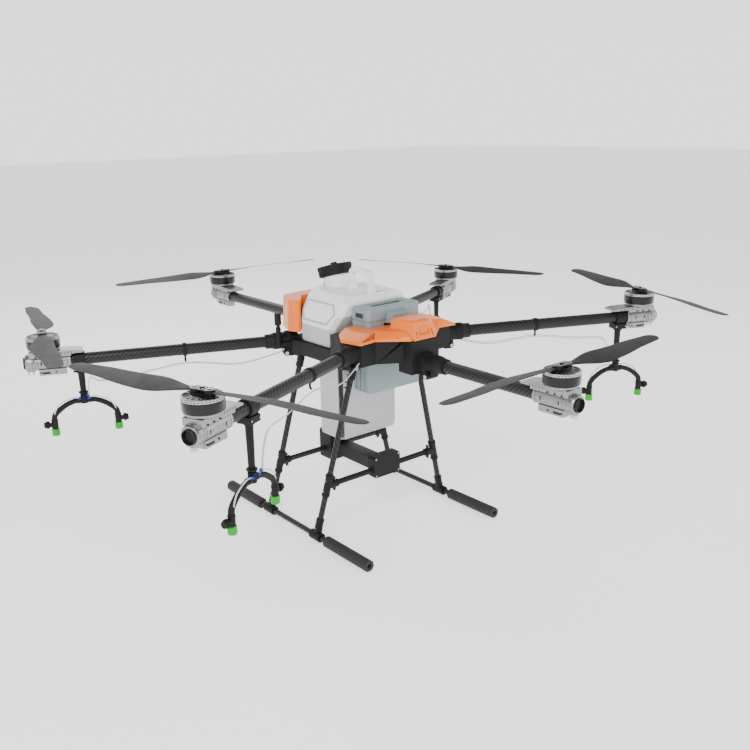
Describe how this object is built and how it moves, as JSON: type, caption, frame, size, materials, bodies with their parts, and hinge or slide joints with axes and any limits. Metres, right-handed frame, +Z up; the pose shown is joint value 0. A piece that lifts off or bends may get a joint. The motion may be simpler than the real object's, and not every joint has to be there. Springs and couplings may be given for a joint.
{
  "type": "hexacopter drone",
  "caption": "Crop-spraying multirotor drone with folding arms, folding two-blade propellers, a lift-out tank and battery, hanging spray booms and skid landing gear.",
  "frame": {"origin": "on the ground under the middle of the machine's footprint", "axes": "+Z up, the nose points along -Y, +X is the machine's side next to arms 4 and 5"},
  "size_m": [2.0793, 1.9236, 0.881],
  "materials": {
    "carbon": "black woven carbon tube, satin clear coat",
    "frame_black": "black moulded reinforced nylon and carbon plate, matt",
    "orange": "orange painted moulded plastic, satin",
    "battery_grey": "blue-grey moulded plastic, fine texture",
    "tank_white": "white blow-moulded polyethylene, satin",
    "silver": "machined aluminium, bead-blasted and clear anodised",
    "motor_black": "black anodised aluminium",
    "prop_grey": "dark grey moulded carbon-nylon, satin",
    "rubber": "black foam rubber over a carbon tube",
    "hose_clear": "milky translucent polyurethane hose"
  },
  "bodies": {
    "airframe": {"main_frame": "frame_black", "front_cover": "orange", "rear_cover": "orange", "spine_beam": "frame_black", "pump_housing": "frame_black", "crossbar_rear": "carbon", "leg_front_left": "carbon", "leg_front_right": "carbon", "leg_rear_left": "carbon", "leg_rear_right": "carbon", "skid_left": "rubber", "skid_right": "rubber"},
    "arm_1": {"arm_1_tube": "carbon", "mount_1": "silver", "boom_1": "frame_black", "hose_1": "hose_clear"},
    "collar_1": {"collar_1": "frame_black"},
    "rotor_1": {"rotor_1": "motor_black"},
    "blade_1a": {"blade_1a": "prop_grey"},
    "blade_1b": {"blade_1b": "prop_grey"},
    "arm_2": {"arm_2_tube": "carbon", "mount_2": "silver", "boom_2": "frame_black", "hose_2": "hose_clear"},
    "collar_2": {"collar_2": "frame_black"},
    "rotor_2": {"rotor_2": "motor_black"},
    "blade_2a": {"blade_2a": "prop_grey"},
    "blade_2b": {"blade_2b": "prop_grey"},
    "arm_3": {"arm_3_tube": "carbon", "mount_3": "silver"},
    "collar_3": {"collar_3": "frame_black"},
    "rotor_3": {"rotor_3": "motor_black"},
    "blade_3a": {"blade_3a": "prop_grey"},
    "blade_3b": {"blade_3b": "prop_grey"},
    "arm_4": {"arm_4_tube": "carbon", "mount_4": "silver", "boom_4": "frame_black", "hose_4": "hose_clear"},
    "collar_4": {"collar_4": "frame_black"},
    "rotor_4": {"rotor_4": "motor_black"},
    "blade_4a": {"blade_4a": "prop_grey"},
    "blade_4b": {"blade_4b": "prop_grey"},
    "arm_5": {"arm_5_tube": "carbon", "mount_5": "silver", "boom_5": "frame_black", "hose_5": "hose_clear"},
    "collar_5": {"collar_5": "frame_black"},
    "rotor_5": {"rotor_5": "motor_black"},
    "blade_5a": {"blade_5a": "prop_grey"},
    "blade_5b": {"blade_5b": "prop_grey"},
    "arm_6": {"arm_6_tube": "carbon", "mount_6": "silver"},
    "collar_6": {"collar_6": "frame_black"},
    "rotor_6": {"rotor_6": "motor_black"},
    "blade_6a": {"blade_6a": "prop_grey"},
    "blade_6b": {"blade_6b": "prop_grey"},
    "tank": {"tank": "tank_white"},
    "filler_cap": {"filler_cap": "frame_black"},
    "battery": {"battery": "battery_grey", "battery_plug": "battery_grey"}
  },
  "joints": [
    {"name": "arm_1_fold", "type": "hinge", "parent": "airframe", "child": "arm_1", "pos_m": [-0.21448, -0.23851, 0.6106], "axis": [0.4051, -0.9143, 0], "range_deg": [0, 37]},
    {"name": "collar_1_turn", "type": "hinge", "parent": "arm_1", "child": "collar_1", "pos_m": [-0.25196, -0.25512, 0.6521], "axis": [-0.9143, -0.4051, 0], "range_deg": [0, 90]},
    {"name": "rotor_1_spin", "type": "hinge", "parent": "arm_1", "child": "rotor_1", "pos_m": [-0.87, -0.529, 0.7201], "axis": [0, 0, 1], "continuous": true},
    {"name": "blade_1a_fold", "type": "hinge", "parent": "rotor_1", "child": "blade_1a", "pos_m": [-0.87735, -0.5088, 0.7471], "axis": [0, 0, 1], "range_deg": [-80, 80]},
    {"name": "blade_1b_fold", "type": "hinge", "parent": "rotor_1", "child": "blade_1b", "pos_m": [-0.86265, -0.5492, 0.7471], "axis": [0, 0, 1], "range_deg": [-80, 80]},
    {"name": "arm_2_fold", "type": "hinge", "parent": "airframe", "child": "arm_2", "pos_m": [-0.17008, 0.18062, 0.5723], "axis": [-0.3811, -0.9245, 0], "range_deg": [0, 29]},
    {"name": "collar_2_turn", "type": "hinge", "parent": "arm_2", "child": "collar_2", "pos_m": [-0.20799, 0.19625, 0.6138], "axis": [-0.9245, 0.3811, 0], "range_deg": [0, 90]},
    {"name": "rotor_2_spin", "type": "hinge", "parent": "arm_2", "child": "rotor_2", "pos_m": [-0.894, 0.479, 0.6818], "axis": [0, 0, 1], "continuous": true},
    {"name": "blade_2a_fold", "type": "hinge", "parent": "rotor_2", "child": "blade_2a", "pos_m": [-0.88789, 0.49961, 0.7088], "axis": [0, 0, 1], "range_deg": [-80, 80]},
    {"name": "blade_2b_fold", "type": "hinge", "parent": "rotor_2", "child": "blade_2b", "pos_m": [-0.90011, 0.45838, 0.7088], "axis": [0, 0, 1], "range_deg": [-80, 80]},
    {"name": "arm_3_fold", "type": "hinge", "parent": "airframe", "child": "arm_3", "pos_m": [0, 0.221, 0.6106], "axis": [-1, 0, 0], "range_deg": [0, 57]},
    {"name": "collar_3_turn", "type": "hinge", "parent": "arm_3", "child": "collar_3", "pos_m": [0, 0.262, 0.6521], "axis": [0, 1, 0], "range_deg": [0, 90]},
    {"name": "rotor_3_spin", "type": "hinge", "parent": "arm_3", "child": "rotor_3", "pos_m": [0, 0.891, 0.7201], "axis": [0, 0, 1], "continuous": true},
    {"name": "blade_3a_fold", "type": "hinge", "parent": "rotor_3", "child": "blade_3a", "pos_m": [-0.0215, 0.891, 0.7471], "axis": [0, 0, 1], "range_deg": [-80, 80]},
    {"name": "blade_3b_fold", "type": "hinge", "parent": "rotor_3", "child": "blade_3b", "pos_m": [0.0215, 0.891, 0.7471], "axis": [0, 0, 1], "range_deg": [-80, 80]},
    {"name": "arm_4_fold", "type": "hinge", "parent": "airframe", "child": "arm_4", "pos_m": [0.17008, 0.18062, 0.5723], "axis": [-0.3811, 0.9245, 0], "range_deg": [0, 29]},
    {"name": "collar_4_turn", "type": "hinge", "parent": "arm_4", "child": "collar_4", "pos_m": [0.20799, 0.19625, 0.6138], "axis": [0.9245, 0.3811, 0], "range_deg": [0, 90]},
    {"name": "rotor_4_spin", "type": "hinge", "parent": "arm_4", "child": "rotor_4", "pos_m": [0.894, 0.479, 0.6818], "axis": [0, 0, 1], "continuous": true},
    {"name": "blade_4a_fold", "type": "hinge", "parent": "rotor_4", "child": "blade_4a", "pos_m": [0.88789, 0.49961, 0.7088], "axis": [0, 0, 1], "range_deg": [-80, 80]},
    {"name": "blade_4b_fold", "type": "hinge", "parent": "rotor_4", "child": "blade_4b", "pos_m": [0.90011, 0.45838, 0.7088], "axis": [0, 0, 1], "range_deg": [-80, 80]},
    {"name": "arm_5_fold", "type": "hinge", "parent": "airframe", "child": "arm_5", "pos_m": [0.21448, -0.23851, 0.6106], "axis": [0.4051, 0.9143, 0], "range_deg": [0, 30]},
    {"name": "collar_5_turn", "type": "hinge", "parent": "arm_5", "child": "collar_5", "pos_m": [0.25196, -0.25512, 0.6521], "axis": [0.9143, -0.4051, 0], "range_deg": [0, 90]},
    {"name": "rotor_5_spin", "type": "hinge", "parent": "arm_5", "child": "rotor_5", "pos_m": [0.87, -0.529, 0.7201], "axis": [0, 0, 1], "continuous": true},
    {"name": "blade_5a_fold", "type": "hinge", "parent": "rotor_5", "child": "blade_5a", "pos_m": [0.87735, -0.5088, 0.7471], "axis": [0, 0, 1], "range_deg": [-80, 80]},
    {"name": "blade_5b_fold", "type": "hinge", "parent": "rotor_5", "child": "blade_5b", "pos_m": [0.86265, -0.5492, 0.7471], "axis": [0, 0, 1], "range_deg": [-80, 80]},
    {"name": "arm_6_fold", "type": "hinge", "parent": "airframe", "child": "arm_6", "pos_m": [0, -0.377, 0.5723], "axis": [1, 0, 0], "range_deg": [0, 60]},
    {"name": "collar_6_turn", "type": "hinge", "parent": "arm_6", "child": "collar_6", "pos_m": [0, -0.418, 0.6138], "axis": [0, -1, 0], "range_deg": [0, 90]},
    {"name": "rotor_6_spin", "type": "hinge", "parent": "arm_6", "child": "rotor_6", "pos_m": [0, -0.882, 0.6818], "axis": [0, 0, 1], "continuous": true},
    {"name": "blade_6a_fold", "type": "hinge", "parent": "rotor_6", "child": "blade_6a", "pos_m": [0.0215, -0.882, 0.7088], "axis": [0, 0, 1], "range_deg": [-80, 80]},
    {"name": "blade_6b_fold", "type": "hinge", "parent": "rotor_6", "child": "blade_6b", "pos_m": [-0.0215, -0.882, 0.7088], "axis": [0, 0, 1], "range_deg": [-80, 80]},
    {"name": "tank_lift", "type": "slide", "parent": "airframe", "child": "tank", "axis": [0, 0, 1], "range_m": [0, 0.34]},
    {"name": "filler_cap_turn", "type": "hinge", "parent": "tank", "child": "filler_cap", "pos_m": [0, 0.10586, 0.84668], "axis": [0, 0.2924, 0.9563], "range_deg": [0, 120]},
    {"name": "battery_lift", "type": "slide", "parent": "airframe", "child": "battery", "axis": [0, 0, 1], "range_m": [0, 0.3]}
  ]
}
